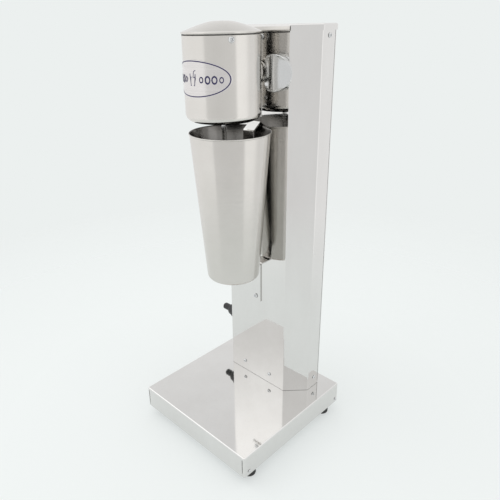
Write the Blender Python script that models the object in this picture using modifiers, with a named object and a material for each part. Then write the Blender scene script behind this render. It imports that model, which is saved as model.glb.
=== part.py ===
"""Single-spindle milkshake mixer: a folded stainless base and column, a motor head on a neck, a spindle
with a wavy agitator, and a one-litre cup that hangs on a hook and stands on a small rest.

Metres, +Z up, -Y is the front. The object stands on Z = 0.
"""

import math

import bmesh
import bpy
from mathutils import Matrix, Vector

MM = 0.001
GAP = 0.3 * MM  # clearance left between pieces that touch

# Base
BASE_HALF_X = 98.8 * MM
BASE_HALF_Y = 100.0 * MM
BASE_TOP = 45.0 * MM
SKIRT_HEIGHT = 31.0 * MM
SHEET = 1.2 * MM
BEND = 2.5 * MM
BASE_BEND = 1.6 * MM
CAP_BEND = 2.4 * MM
FOOT_X = 86.5 * MM
FOOT_Y = 79.0 * MM
FOOT_RADIUS = 9.0 * MM
PAN_FLANGE = 13.0 * MM
SEAM_WIDTH = 1.0 * MM

# Column: half widths and depths of its plan outline
COLUMN_FRONT_Y = 31.0 * MM
COLUMN_FRONT_HALF = 50.7 * MM
COLUMN_SIDE_X = 75.5 * MM
COLUMN_SHOULDER_Y = 56.5 * MM
COLUMN_BACK_Y = 80.8 * MM
COLUMN_TOP = 530.9 * MM
COLUMN_RETURN = 16.0 * MM
CAP_TOP = 533.0 * MM
CAP_LIP = 7.0 * MM
CAP_FRONT_LIP = 5.5 * MM
CAP_SHEET = 1.2 * MM

# Head and spindle, on one vertical axis
AXIS_Y = -23.0 * MM
HEAD_RADIUS = 42.9 * MM
HEAD_BOTTOM = 434.3 * MM
HEAD_CORNER = 9.0 * MM
HEAD_TOP = 524.9 * MM
LID_RIM_RADIUS = 43.7 * MM
LID_FLAT_RADIUS = 12.0 * MM
LID_TOP = 537.4 * MM
LID_SCREW_Z = 519.7 * MM
LID_SCREW_AZIMUTHS = {"front_right": 60, "rear": 180, "front_left": 300}
SPINDLE_RADIUS = 3.0 * MM
SPINDLE_TOP = 518.0 * MM
AGITATOR_Z = 262.0 * MM
AGITATOR_RADIUS = 14.0 * MM

# Neck and speed control, both on horizontal axes at this height
CONTROL_Z = 482.5 * MM
NECK_FLANGE_RADIUS = 14.0 * MM
NECK_RADIUS = 12.0 * MM
NECK_THREAD_RADIUS = 9.0 * MM
KNOB_X = 35.0 * MM
KNOB_RADIUS = 20.4 * MM
KNOB_DEPTH = 11.0 * MM
KNOB_BAR_WIDTH = 5.2 * MM
KNOB_FACET_WIDTH = 9.0 * MM  # the sloping side of the bar at mid height
KNOB_FACET_DEPTH = 4.6 * MM
KNOB_SCOOP_DEPTH = 10.4 * MM
KNOB_SCOOP_HALF_HEIGHT = 18.9 * MM

# Badge on the front of the head
BADGE_HALF_ARC = math.radians(60)
BADGE_HALF_HEIGHT = 19.3 * MM
BADGE_Z = 482.0 * MM
BADGE_THICKNESS = 0.4 * MM

# Cup, hook and rest
CUP_X = 4.0 * MM
CUP_Y = -17.4 * MM
CUP_BOTTOM = 235.6 * MM
CUP_RIM_Z = 420.3 * MM
CUP_BOTTOM_RADIUS = 33.3 * MM
CUP_RIM_RADIUS = 47.3 * MM
CUP_BEAD = 0.7 * MM
CUP_WALL = 0.9 * MM
TAB_HALF_WIDTH = 8.3 * MM
TAB_SHEET = 1.5 * MM
REST_SCREW_Z = 183.9 * MM
REST_SCREW_PITCH = 34.0 * MM
HOOK_SCREW_Z = 445.0 * MM

# Cable gland on the left side
GLAND_Y = 66.5 * MM
GLAND_Z = 111.0 * MM
GLAND_REACH = 28.0 * MM
GLAND_THREAD_RADIUS = 5.5 * MM

# Screws
PAN_HEAD = 3.3 * MM
PAN_SHANK = 1.6 * MM
SMALL_HEAD = 2.3 * MM
SMALL_SHANK = 1.2 * MM
HOLE_PLAY = 0.4 * MM
COLUMN_SCREW_Z = 60.3 * MM
COLUMN_SCREW_X = 24.2 * MM
COLUMN_SCREW_Y = 70.4 * MM
CAP_SCREW_Z = 520.7 * MM

FRONT = Vector((0, -1, 0))
BACK = Vector((0, 1, 0))
LEFT = Vector((-1, 0, 0))
RIGHT = Vector((1, 0, 0))
UP = Vector((0, 0, 1))
DOWN = Vector((0, 0, -1))

# The gland reaches past the base on the left, and two screw heads do a little on the right, so this centres
# the whole object on X = 0.
CENTRING_X = (COLUMN_SIDE_X + GLAND_REACH - BASE_HALF_X - 1.47 * MM) / 2

MATERIALS = {
    "mirror_steel": ((0.80, 0.80, 0.79), 0.08, 1.0),
    "satin_steel": ((0.74, 0.73, 0.71), 0.28, 1.0),
    "zinc": ((0.66, 0.67, 0.68), 0.35, 1.0),
    "chrome": ((0.86, 0.87, 0.88), 0.12, 1.0),
    "rubber": ((0.02, 0.02, 0.02), 0.75, 0.0),
    "black_plastic": ((0.03, 0.03, 0.03), 0.45, 0.0),
    "laminated_steel": ((0.35, 0.34, 0.33), 0.5, 1.0),
    "copper": ((0.72, 0.38, 0.22), 0.35, 1.0),
    "badge": ((0.82, 0.83, 0.86), 0.25, 0.0),
}


def clear_scene():
    for obj in list(bpy.data.objects):
        bpy.data.objects.remove(obj, do_unlink=True)


def new_collection(name):
    collection = bpy.data.collections.new(name)
    bpy.context.scene.collection.children.link(collection)
    return collection


def make_materials():
    made = {}
    for name, (colour, roughness, metallic) in MATERIALS.items():
        material = bpy.data.materials.new(name)
        material.use_nodes = True
        shader = material.node_tree.nodes["Principled BSDF"]
        shader.inputs["Base Color"].default_value = (*colour, 1)
        shader.inputs["Roughness"].default_value = roughness
        shader.inputs["Metallic"].default_value = metallic
        made[name] = material
    return made


clear_scene()
PARTS = new_collection("milkshake_mixer")
CUTTERS = new_collection("cutters")
FINISH = make_materials()
ORIGIN = bpy.data.objects.new("mixer_origin", None)
ORIGIN.location.x = CENTRING_X
PARTS.objects.link(ORIGIN)


# ---------------------------------------------------------------- tools


def add_object(name, mesh, finish, location=(0, 0, 0), direction=UP, collection=None):
    """A named object on the mixer's origin, its local +Z turned to point along direction."""
    obj = bpy.data.objects.new(name, mesh)
    (collection or PARTS).objects.link(obj)
    obj.parent = ORIGIN
    obj.location = location
    obj.rotation_euler = UP.rotation_difference(direction).to_euler()
    if finish:
        mesh.materials.append(FINISH[finish])
        mesh.shade_smooth()
        mesh.set_sharp_from_angle(angle=math.radians(35))
    return obj


def mesh_from(bm, name):
    bmesh.ops.recalc_face_normals(bm, faces=bm.faces)
    mesh = bpy.data.meshes.new(name)
    bm.to_mesh(mesh)
    bm.free()
    return mesh


def turned(name, finish, profile, location, direction=UP, steps=20):
    """A turned piece: (radius, height) points, down the outside and then up the inside if it has a bore."""
    mesh = bpy.data.meshes.new(name)
    count = len(profile)
    has_bore = min(radius for radius, _ in profile) > 0
    edges = [(i, i + 1) for i in range(count - 1)] + ([(count - 1, 0)] if has_bore else [])
    mesh.from_pydata([(radius, 0, height) for radius, height in profile], edges, [])
    obj = add_object(name, mesh, finish, location, direction)
    screw = obj.modifiers.new("turn", "SCREW")
    screw.steps = screw.render_steps = steps
    screw.use_merge_vertices = True
    screw.merge_threshold = 1e-6
    screw.use_smooth_shade = True
    return obj


def arc(centre, radius, start, end, steps):
    """Points on an arc in the (radius, height) plane, angles in degrees."""
    angles = [math.radians(start + (end - start) * i / steps) for i in range(steps + 1)]
    return [(centre[0] + radius * math.cos(a), centre[1] + radius * math.sin(a)) for a in angles]


def rounded_path(corners, radius, steps=3, closed=False):
    """A polyline whose inner corners are replaced by arcs of this bend radius."""
    count = len(corners)
    path = []
    for i, corner in enumerate(corners):
        if not closed and i in (0, count - 1):
            path.append(tuple(corner))
            continue
        here = Vector(corner)
        before = (Vector(corners[i - 1]) - here).normalized()
        after = (Vector(corners[(i + 1) % count]) - here).normalized()
        half = before.angle(after) / 2
        centre = here + (before + after).normalized() * radius / math.sin(half)
        start = here + before * radius / math.tan(half) - centre
        end = here + after * radius / math.tan(half) - centre
        turn = start.angle_signed(end)
        for step in range(steps + 1):
            spoke = start.copy()
            spoke.rotate(Matrix.Rotation(-turn * step / steps, 2))
            path.append(tuple(centre + spoke))
    return path


def folded_sheet(name, finish, path, start, end, thickness, place, inward=-1):
    """Sheet bent along a 2-D path and drawn out from start to end. place turns (a, b, depth) into a point."""
    bm = bmesh.new()
    rows = [[bm.verts.new(place(a, b, depth)) for a, b in path] for depth in (start, end)]
    for i in range(len(path) - 1):
        bm.faces.new((rows[0][i], rows[0][i + 1], rows[1][i + 1], rows[1][i]))
    obj = add_object(name, mesh_from(bm, name), finish)
    solidify = obj.modifiers.new("sheet", "SOLIDIFY")
    solidify.thickness = thickness
    solidify.offset = inward
    solidify.use_even_offset = True
    return obj


def tray(name, finish, outline_at, bend, closed_z, open_z, thickness, steps=2):
    """A folded tray: a flat panel at closed_z, a bend, and walls to open_z. outline_at(inset) is its plan."""
    side = 1 if closed_z > open_z else -1
    bm = bmesh.new()
    rows = []
    for step in range(steps + 1):
        angle = math.pi / 2 * step / steps
        inset, drop = bend * (1 - math.sin(angle)), bend * (1 - math.cos(angle))
        rows.append([bm.verts.new((x, y, closed_z - side * drop)) for x, y in outline_at(inset)])
    rows.append([bm.verts.new((x, y, open_z)) for x, y in outline_at(0)])
    panel = bm.faces.new(rows[0])
    for upper, lower in zip(rows, rows[1:]):
        for i in range(len(upper)):
            after = (i + 1) % len(upper)
            bm.faces.new((upper[i], lower[i], lower[after], upper[after]))
    bmesh.ops.recalc_face_normals(bm, faces=bm.faces)
    panel.normal_update()
    if panel.normal.z * side < 0:
        bmesh.ops.reverse_faces(bm, faces=bm.faces)
    mesh = bpy.data.meshes.new(name)
    bm.to_mesh(mesh)
    bm.free()
    obj = add_object(name, mesh, finish)
    solidify = obj.modifiers.new("sheet", "SOLIDIFY")
    solidify.thickness = thickness
    solidify.offset = -1
    solidify.use_even_offset = True
    return obj


def box_mesh(name, low, high, bevel=0.0, segments=2):
    bm = bmesh.new()
    bmesh.ops.create_cube(bm, size=1)
    low, high = Vector(low), Vector(high)
    for vert in bm.verts:
        vert.co = [(low[i] + high[i]) / 2 + vert.co[i] * (high[i] - low[i]) for i in range(3)]
    if bevel:
        bmesh.ops.bevel(bm, geom=bm.edges, offset=bevel, segments=segments, affect="EDGES", profile=0.5)
    return mesh_from(bm, name)


def hide_helper(obj):
    obj.hide_render = True
    obj.display_type = "WIRE"
    return obj


def cut(obj, cutter, operation="DIFFERENCE"):
    boolean = obj.modifiers.new("cut_" + cutter.name, "BOOLEAN")
    boolean.operation = operation
    boolean.object = cutter


def cut_holes(obj, holes, steps=8):
    """Round holes through obj: each is (centre, direction, radius, length)."""
    bm = bmesh.new()
    for centre, direction, radius, length in holes:
        turn = UP.rotation_difference(Vector(direction)).to_matrix().to_4x4()
        bmesh.ops.create_cone(
            bm,
            cap_ends=True,
            segments=steps,
            radius1=radius / math.cos(math.pi / steps),
            radius2=radius / math.cos(math.pi / steps),
            depth=length,
            matrix=Matrix.Translation(centre) @ turn,
        )
    mesh = mesh_from(bm, obj.name + "_holes")
    cut(obj, hide_helper(add_object(obj.name + "_holes", mesh, None, collection=CUTTERS)))


def cut_boxes(obj, suffix, boxes):
    """Square-cornered cuts through obj: each is (low corner, high corner)."""
    bm = bmesh.new()
    for low, high in boxes:
        made = bmesh.ops.create_cube(bm, size=1)["verts"]
        for vert in made:
            vert.co = [(low[i] + high[i]) / 2 + vert.co[i] * (high[i] - low[i]) for i in range(3)]
    mesh = mesh_from(bm, obj.name + suffix)
    cut(obj, hide_helper(add_object(obj.name + suffix, mesh, None, collection=CUTTERS)))


def pan_screw(name, seat, direction, head=PAN_HEAD, shank=PAN_SHANK, length=8 * MM):
    """A pan-head screw whose head sits just off the surface at seat and faces direction."""
    height, under = head * 0.55, GAP * 0.4
    profile = [(0, height), (head * 0.65, height * 0.85), (head, height * 0.3), (head, under), (shank, under)]
    profile += [(shank, -length), (0, -length)]
    return turned(name, "zinc", profile, seat + Vector(direction) * GAP * 0.7, direction, steps=8)


def hex_nut(name, seat, direction, bore, thickness, flats):
    """A six-sided nut of this width across flats, its bore clear of a thread of radius bore."""
    corner = flats / 2 / math.cos(math.pi / 6)
    inner = (bore + 0.3 * MM) / math.cos(math.pi / 6)
    profile = [(corner, thickness), (corner, 0), (inner, 0), (inner, thickness)]
    return turned(name, "zinc", profile, seat, direction, steps=6)


def on_head(azimuth, radius, height):
    """A point round the head's axis: azimuth in degrees, 0 at the front and 90 at the right."""
    angle = math.radians(azimuth)
    return Vector((radius * math.sin(angle), AXIS_Y - radius * math.cos(angle), height))


def outward(azimuth):
    angle = math.radians(azimuth)
    return Vector((math.sin(angle), -math.cos(angle), 0))


# ---------------------------------------------------------------- base


def base_outline(inset):
    x, y = BASE_HALF_X - inset, BASE_HALF_Y - inset
    return rounded_path([(-x, -y), (x, -y), (x, y), (-x, y)], BEND - inset, closed=True)


def make_base():
    skirt_bottom = BASE_TOP - SKIRT_HEIGHT
    base = tray("base_tray", "mirror_steel", base_outline, BASE_BEND, BASE_TOP, skirt_bottom, SHEET)
    seam_x = BASE_HALF_X - BEND - SEAM_WIDTH
    seams = []
    for side_x in (-1, 1):
        for side_y in (-1, 1):
            x, y = side_x * seam_x, side_y * BASE_HALF_Y
            low = (x - SEAM_WIDTH / 2, y - 3 * MM, skirt_bottom - 1 * MM)
            high = (x + SEAM_WIDTH / 2, y + 3 * MM, BASE_TOP - 3.5 * MM)
            seams.append((low, high))
    cut_boxes(base, "_seams", seams)
    pan_x = BASE_HALF_X - SHEET - 0.4 * MM
    pan_y = BASE_HALF_Y - SHEET - BEND
    pan_z = skirt_bottom + 0.6 * MM
    path = [(-pan_x, pan_z + PAN_FLANGE), (-pan_x, pan_z), (pan_x, pan_z), (pan_x, pan_z + PAN_FLANGE)]
    pan = folded_sheet(
        "base_pan", "zinc", rounded_path(path, 2 * MM), -pan_y, pan_y, SHEET, lambda a, b, d: (a, d, b)
    )
    make_feet(pan, pan_z)
    make_skirt_screws(base, pan, pan_z)


def make_feet(pan, pan_z):
    """Push-in rubber feet: a pad with a recess below and a stem that snaps through the pan."""
    top, above = pan_z - GAP, pan_z + SHEET + GAP
    stem, barb = 2.2 * MM, 3.6 * MM
    profile = [(0, above + 5 * MM), (stem, above + 5 * MM), (barb, above), (stem, above), (stem, top)]
    profile += [(FOOT_RADIUS, top), (FOOT_RADIUS, 1.6 * MM), (FOOT_RADIUS - 1.4 * MM, 0)]
    profile += [(4.2 * MM, 0), (4.2 * MM, 5 * MM), (0, 5 * MM)]
    holes = []
    for row, y in (("front", -FOOT_Y), ("rear", FOOT_Y)):
        for side, x in (("left", -FOOT_X), ("right", FOOT_X)):
            turned(f"foot_{row}_{side}", "rubber", profile, (x, y, 0), steps=12)
            holes.append(((x, y, pan_z), UP, stem + HOLE_PLAY, 8 * MM))
    cut_holes(pan, holes)


def make_skirt_screws(base, pan, pan_z):
    holes = []
    for row, y in (("front", -91.0 * MM), ("rear", 94.5 * MM)):
        for side, facing in (("left", LEFT), ("right", RIGHT)):
            seat = Vector((facing.x * BASE_HALF_X, y, pan_z + 5.0 * MM))
            pan_screw(f"skirt_screw_{row}_{side}", seat, facing, SMALL_HEAD, SMALL_SHANK, 5 * MM)
            holes.append((seat, facing, SMALL_SHANK + HOLE_PLAY, 10 * MM))
    cut_holes(base, holes)
    cut_holes(pan, holes)


# ---------------------------------------------------------------- column


def inset_outline(front, half, side, shoulder, back, inset):
    """The column's six-sided plan, each side moved inwards by inset."""
    slope = math.atan2(shoulder - front, side - half)
    step = inset * math.tan(slope / 2)
    drop = inset * math.tan((math.pi / 2 - slope) / 2)
    return [
        (-side + inset, back - inset),
        (-side + inset, shoulder + drop),
        (-half + step, front + inset),
        (half - step, front + inset),
        (side - inset, shoulder + drop),
        (side - inset, back - inset),
    ]


def column_outline(inset, back=COLUMN_BACK_Y):
    return inset_outline(COLUMN_FRONT_Y, COLUMN_FRONT_HALF, COLUMN_SIDE_X, COLUMN_SHOULDER_Y, back, inset)


def make_column():
    corners = column_outline(0)
    first, last = corners[0], corners[-1]
    corners = [(first[0] + COLUMN_RETURN, first[1])] + corners + [(last[0] - COLUMN_RETURN, last[1])]
    column = folded_sheet(
        "column_shell",
        "mirror_steel",
        rounded_path(corners, BEND),
        BASE_TOP + GAP,
        COLUMN_TOP,
        SHEET,
        lambda a, b, d: (a, b, d),
    )
    foot_bracket = tray(
        "column_foot_bracket",
        "zinc",
        lambda inset: rounded_path(column_outline(SHEET + GAP + inset), BEND - inset, 2, closed=True),
        1.6 * MM,
        BASE_TOP + GAP,
        BASE_TOP + 24 * MM,
        SHEET,
        steps=1,
    )
    strap = make_cap_strap()
    column_holes, bracket_holes, strap_holes = [], [], []
    screws = {
        "column_screw_front_left": (Vector((-COLUMN_SCREW_X, COLUMN_FRONT_Y, COLUMN_SCREW_Z)), FRONT),
        "column_screw_front_right": (Vector((COLUMN_SCREW_X, COLUMN_FRONT_Y, COLUMN_SCREW_Z)), FRONT),
        "column_screw_side_left": (Vector((-COLUMN_SIDE_X, COLUMN_SCREW_Y, COLUMN_SCREW_Z)), LEFT),
        "column_screw_side_right": (Vector((COLUMN_SIDE_X, COLUMN_SCREW_Y, COLUMN_SCREW_Z)), RIGHT),
    }
    for name, (seat, facing) in screws.items():
        pan_screw(name, seat, facing, head=2.7 * MM)
        hole = (seat, facing, PAN_SHANK + HOLE_PLAY, 10 * MM)
        column_holes.append(hole)
        bracket_holes.append(hole)
    for side, facing in (("left", LEFT), ("right", RIGHT)):
        seat = Vector((facing.x * COLUMN_SIDE_X, COLUMN_SCREW_Y - 1.3 * MM, CAP_SCREW_Z))
        pan_screw(f"cap_screw_{side}", seat, facing, head=2.7 * MM)
        hole = (seat, facing, PAN_SHANK + HOLE_PLAY, 10 * MM)
        column_holes.append(hole)
        strap_holes.append(hole)
    column_holes += make_back_cover()
    column_holes.append(((0, COLUMN_FRONT_Y, CONTROL_Z), BACK, NECK_THREAD_RADIUS + HOLE_PLAY, 6 * MM))
    column_holes.append(((KNOB_X, COLUMN_FRONT_Y, CONTROL_Z), BACK, 4.5 * MM + HOLE_PLAY, 6 * MM))
    for z in (REST_SCREW_Z, REST_SCREW_Z + REST_SCREW_PITCH, HOOK_SCREW_Z - 5 * MM, HOOK_SCREW_Z + 5 * MM):
        column_holes.append(((0, COLUMN_FRONT_Y, z), BACK, PAN_SHANK + HOLE_PLAY, 6 * MM))
    gland_centre = (-COLUMN_SIDE_X, GLAND_Y, GLAND_Z)
    column_holes.append((gland_centre, LEFT, GLAND_THREAD_RADIUS + HOLE_PLAY, 6 * MM))
    cut_holes(column, column_holes)
    cut_holes(foot_bracket, bracket_holes)
    cut_holes(strap, strap_holes)
    make_cap()


def make_back_cover():
    """The flat rear panel and its four screws; gives back the holes that the column needs."""
    face_y = COLUMN_BACK_Y + GAP
    low = (-COLUMN_SIDE_X + 1.0 * MM, face_y, BASE_TOP + 1.0 * MM)
    high = (COLUMN_SIDE_X - 1.0 * MM, face_y + SHEET, COLUMN_TOP - 1.0 * MM)
    cover = add_object("column_back_cover", box_mesh("column_back_cover", low, high), "mirror_steel")
    holes = []
    for row, z in (("lower", BASE_TOP + 32 * MM), ("upper", COLUMN_TOP - 20 * MM)):
        for side, x in (("left", -67.5 * MM), ("right", 67.5 * MM)):
            seat = Vector((x, face_y + SHEET, z))
            pan_screw(f"back_screw_{row}_{side}", seat, BACK, length=6 * MM)
            holes.append((seat, BACK, PAN_SHANK + HOLE_PLAY, 8 * MM))
    cut_holes(cover, holes)
    return holes


def make_cap_strap():
    """The U-shaped strap inside the top of the column that the side screws hold the cap by."""
    side = COLUMN_SIDE_X - SHEET - GAP
    path = [(-side, CAP_SCREW_Z - 9 * MM), (-side, COLUMN_TOP), (side, COLUMN_TOP), (side, CAP_SCREW_Z - 9 * MM)]
    y = COLUMN_SCREW_Y - 1.3 * MM
    return folded_sheet(
        "cap_strap",
        "zinc",
        rounded_path(path, 2 * MM),
        y - 8 * MM,
        y + 8 * MM,
        SHEET,
        lambda a, b, d: (a, d, b),
    )


def make_cap():
    overhang = GAP + CAP_SHEET
    lip_bottom = CAP_TOP - CAP_LIP
    back = COLUMN_BACK_Y + GAP + SHEET

    def outline(inset):
        return rounded_path(column_outline(inset - overhang, back), CAP_BEND + 0.6 * MM - inset, 2, closed=True)

    cap = tray("column_cap", "mirror_steel", outline, CAP_BEND, CAP_TOP, lip_bottom, CAP_SHEET, 3)
    front = COLUMN_FRONT_Y - overhang
    cuts = [
        (
            (-COLUMN_FRONT_HALF, front - 3 * MM, lip_bottom - 1 * MM),
            (COLUMN_FRONT_HALF, front + 3 * MM, CAP_TOP - CAP_FRONT_LIP),
        )
    ]
    for side in (-1, 1):
        x = side * (COLUMN_FRONT_HALF + 0.9 * MM)
        low = (x - 0.4 * MM, front - 3 * MM, lip_bottom - 1 * MM)
        cuts.append((low, (x + 0.4 * MM, front + 4 * MM, CAP_TOP - 2.2 * MM)))
    cut_boxes(cap, "_lip_cuts", cuts)


# ---------------------------------------------------------------- head, motor and spindle


def make_neck():
    """Threaded neck from inside the head, through the column's front, with its nut behind."""
    length = 36.0 * MM
    flange = 12.7 * MM
    start = COLUMN_FRONT_Y - GAP - flange - 4.0 * MM
    bore = 6.0 * MM
    shoulder = COLUMN_FRONT_Y - GAP - start
    profile = [(NECK_THREAD_RADIUS, length), (NECK_THREAD_RADIUS, shoulder)]
    profile += [(NECK_FLANGE_RADIUS - 0.8 * MM, shoulder), (NECK_FLANGE_RADIUS, shoulder - 0.8 * MM)]
    profile += [(NECK_FLANGE_RADIUS, shoulder - 3.2 * MM), (NECK_RADIUS + 1.0 * MM, shoulder - 4.4 * MM)]
    profile += [(NECK_RADIUS, shoulder - 6.0 * MM), (NECK_RADIUS, 0), (bore, 0), (bore, length)]
    turned("neck_tube", "satin_steel", profile, (0, start, CONTROL_Z), BACK, steps=20)
    seat = Vector((0, COLUMN_FRONT_Y + SHEET + GAP, CONTROL_Z))
    hex_nut("neck_nut", seat, BACK, NECK_THREAD_RADIUS, 5 * MM, 27 * MM)


def make_head():
    inner = HEAD_RADIUS - SHEET
    floor = HEAD_BOTTOM + SHEET
    mouth = 9.0 * MM
    corner = (HEAD_RADIUS - HEAD_CORNER, HEAD_BOTTOM + HEAD_CORNER)
    profile = [(HEAD_RADIUS, HEAD_TOP)] + arc(corner, HEAD_CORNER, 0, -90, 5)
    profile += [(mouth, HEAD_BOTTOM), (mouth, floor)]
    profile += arc(corner, HEAD_CORNER - SHEET, -90, 0, 3) + [(inner, HEAD_TOP)]
    head = turned("head_shell", "satin_steel", profile, (0, AXIS_Y, 0), steps=36)
    screw_holes = []
    for name, azimuth in LID_SCREW_AZIMUTHS.items():
        seat = on_head(azimuth, HEAD_RADIUS, LID_SCREW_Z)
        pan_screw("lid_screw_" + name, seat, outward(azimuth), length=5 * MM)
        screw_holes.append((seat, outward(azimuth), PAN_SHANK + HOLE_PLAY, 12 * MM))
    neck_start = AXIS_Y + HEAD_RADIUS
    neck_hole = ((0, neck_start, CONTROL_Z), BACK, NECK_RADIUS + GAP, 16 * MM)
    cut_holes(head, [*screw_holes, neck_hole], steps=12)
    make_lid(screw_holes)
    seal = [(8.6 * MM, floor + 4 * MM), (8.6 * MM, HEAD_BOTTOM - GAP), (12 * MM, HEAD_BOTTOM - GAP)]
    seal += [(12 * MM, HEAD_BOTTOM - 1.8 * MM), (10.5 * MM, HEAD_BOTTOM - 3.2 * MM)]
    seal += [(SPINDLE_RADIUS + 0.4 * MM, HEAD_BOTTOM - 3.2 * MM), (SPINDLE_RADIUS + 0.4 * MM, floor + 4 * MM)]
    turned("shaft_seal", "black_plastic", seal, (0, AXIS_Y, 0))


def make_lid(screw_holes):
    rim_bottom = HEAD_TOP + GAP
    rim_top = rim_bottom + 2.3 * MM
    skirt = HEAD_RADIUS - SHEET - GAP
    rise = LID_TOP - rim_top

    def dome(offset):
        """Crown from the flat middle to the rim: straight slopes with a soft turn at each end."""
        points = []
        for step in range(5):
            share = step / 4
            radius = LID_FLAT_RADIUS + (LID_RIM_RADIUS - 1.0 * MM - LID_FLAT_RADIUS) * share
            fall = share ** 1.25
            points.append((radius, LID_TOP - offset - 0.8 * MM * share - (rise - 0.9 * MM) * fall))
        return points

    profile = [(0, LID_TOP + 0.3 * MM)] + dome(0) + [(LID_RIM_RADIUS, rim_top - 0.3 * MM), (LID_RIM_RADIUS, rim_bottom)]
    profile += [(skirt, rim_bottom), (skirt, HEAD_TOP - 9 * MM), (skirt - 1.0 * MM, HEAD_TOP - 9 * MM)]
    profile += [(skirt - 1.0 * MM, rim_bottom)] + dome(1.3 * MM)[-2::-1] + [(0, LID_TOP - 1.0 * MM)]
    lid = turned("head_lid", "satin_steel", profile, (0, AXIS_Y, 0), steps=36)
    cut_holes(lid, screw_holes)


def make_motor():
    """Universal motor: two end plates with bearings, a wound stator, a rotor with its commutator, brushes, fan."""
    axis = (0, AXIS_Y, 0)
    shaft_bore = SPINDLE_RADIUS + 0.4 * MM
    bearing, play = 7.5 * MM, 0.35 * MM
    plate_z, stator_low, stator_high, top_z = 446.0 * MM, 451.0 * MM, 486.0 * MM, 500.0 * MM
    for name, z, radius in (("motor_plate", plate_z, 41.0 * MM), ("motor_top_plate", top_z, 38.0 * MM)):
        hub = bearing + play
        profile = [(radius, z + 2 * MM), (radius, z), (hub + 2.5 * MM, z), (hub + 2.5 * MM, z - 4 * MM)]
        profile += [(hub, z - 4 * MM), (hub, z + 2 * MM)]
        turned(name, "zinc", profile, axis)
    for name, z in (("lower_bearing", plate_z), ("upper_bearing", top_z)):
        profile = [(bearing, z + 1.5 * MM), (bearing, z - 3.5 * MM), (shaft_bore, z - 3.5 * MM), (shaft_bore, z + 1.5 * MM)]
        turned(name, "chrome", profile, axis)
    outer, inner = 31.0 * MM, 17.5 * MM
    stator = [(outer - 5 * MM, stator_high), (outer, stator_high - 6 * MM), (outer, stator_low + 6 * MM)]
    stator += [(outer - 5 * MM, stator_low), (inner, stator_low), (inner, stator_high)]
    turned("motor_stator", "laminated_steel", stator, axis)
    core, commutator = inner - 0.8 * MM, 8.5 * MM
    rotor = [(commutator, top_z - 5 * MM), (commutator, stator_high), (core, stator_high - 2 * MM)]
    rotor += [(core, stator_low + 2 * MM), (core - 5 * MM, stator_low), (shaft_bore, stator_low), (shaft_bore, top_z - 5 * MM)]
    turned("motor_rotor", "copper", rotor, axis)
    for side, facing in (("left", LEFT), ("right", RIGHT)):
        near, far = commutator + 0.5 * MM, commutator + 10.5 * MM
        x_low, x_high = sorted((facing.x * near, facing.x * far))
        low = (x_low, AXIS_Y - 3 * MM, stator_high + 2 * MM)
        mesh = box_mesh("brush_" + side, low, (x_high, AXIS_Y + 3 * MM, top_z - 6 * MM))
        add_object("brush_" + side, mesh, "black_plastic")
    make_fan(top_z + 4 * MM, shaft_bore)


def make_fan(base_z, bore):
    """Fan on top of the motor: a hub disc with upright radial blades joined to it."""
    disc_radius, blade_top, blades = 26.0 * MM, 7.0 * MM, 8
    profile = [(6 * MM, 8 * MM), (6 * MM, 1.6 * MM), (disc_radius, 1.6 * MM), (disc_radius, 0), (bore, 0), (bore, 8 * MM)]
    fan = turned("cooling_fan", "black_plastic", profile, (0, AXIS_Y, base_z))
    bm = bmesh.new()
    for i in range(blades):
        turn = Matrix.Rotation(2 * math.pi * i / blades + 0.1, 4, "Z")
        for vert in bmesh.ops.create_cube(bm, size=1)["verts"]:
            x = 15.5 * MM + vert.co.x * 18 * MM
            vert.co = turn @ Vector((x, vert.co.y * 1.4 * MM, 0.8 * MM + (vert.co.z + 0.5) * (blade_top - 0.8 * MM)))
    blades_obj = add_object("fan_blades", mesh_from(bm, "fan_blades"), None, (0, AXIS_Y, base_z), collection=CUTTERS)
    cut(fan, hide_helper(blades_obj), "UNION")


def make_spindle():
    end, tip = 1.8 * MM, AGITATOR_Z - 5.0 * MM
    shoulder = AGITATOR_Z + 2.6 * MM
    profile = [(0, SPINDLE_TOP), (SPINDLE_RADIUS, SPINDLE_TOP), (SPINDLE_RADIUS, shoulder), (end, shoulder)]
    profile += [(end, tip), (0, tip)]
    turned("spindle", "chrome", profile, (0, AXIS_Y, 0), steps=16)
    thread = end + 0.35 * MM
    turned(
        "agitator_nut",
        "zinc",
        [(4.2 * MM, -0.9 * MM), (4.2 * MM, -3.0 * MM), (3.0 * MM, -4.2 * MM), (thread, -4.2 * MM), (thread, -0.9 * MM)],
        (0, AXIS_Y, AGITATOR_Z),
        steps=12,
    )
    make_agitator(thread)


def make_agitator(bore):
    """Wavy disc: flat in the middle, with five waves that grow towards its edge."""
    waves, sides, rings = 5, 30, 3
    bm = bmesh.new()
    rows = []
    for ring in range(rings + 1):
        share = ring / rings
        radius = bore + (AGITATOR_RADIUS - bore) * share
        wave = 2.0 * MM * max(0.0, share - 0.35) / 0.65
        angles = [2 * math.pi * i / sides for i in range(sides)]
        rows.append(
            [bm.verts.new((radius * math.cos(a), radius * math.sin(a), wave * math.sin(waves * a))) for a in angles]
        )
    for inner_row, outer_row in zip(rows, rows[1:]):
        for i in range(sides):
            after = (i + 1) % sides
            bm.faces.new((inner_row[i], outer_row[i], outer_row[after], inner_row[after]))
    disc = add_object("agitator_disc", mesh_from(bm, "agitator_disc"), "chrome", (0, AXIS_Y, AGITATOR_Z + 0.8 * MM))
    solidify = disc.modifiers.new("sheet", "SOLIDIFY")
    solidify.thickness = 1.4 * MM
    solidify.offset = 0


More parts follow.
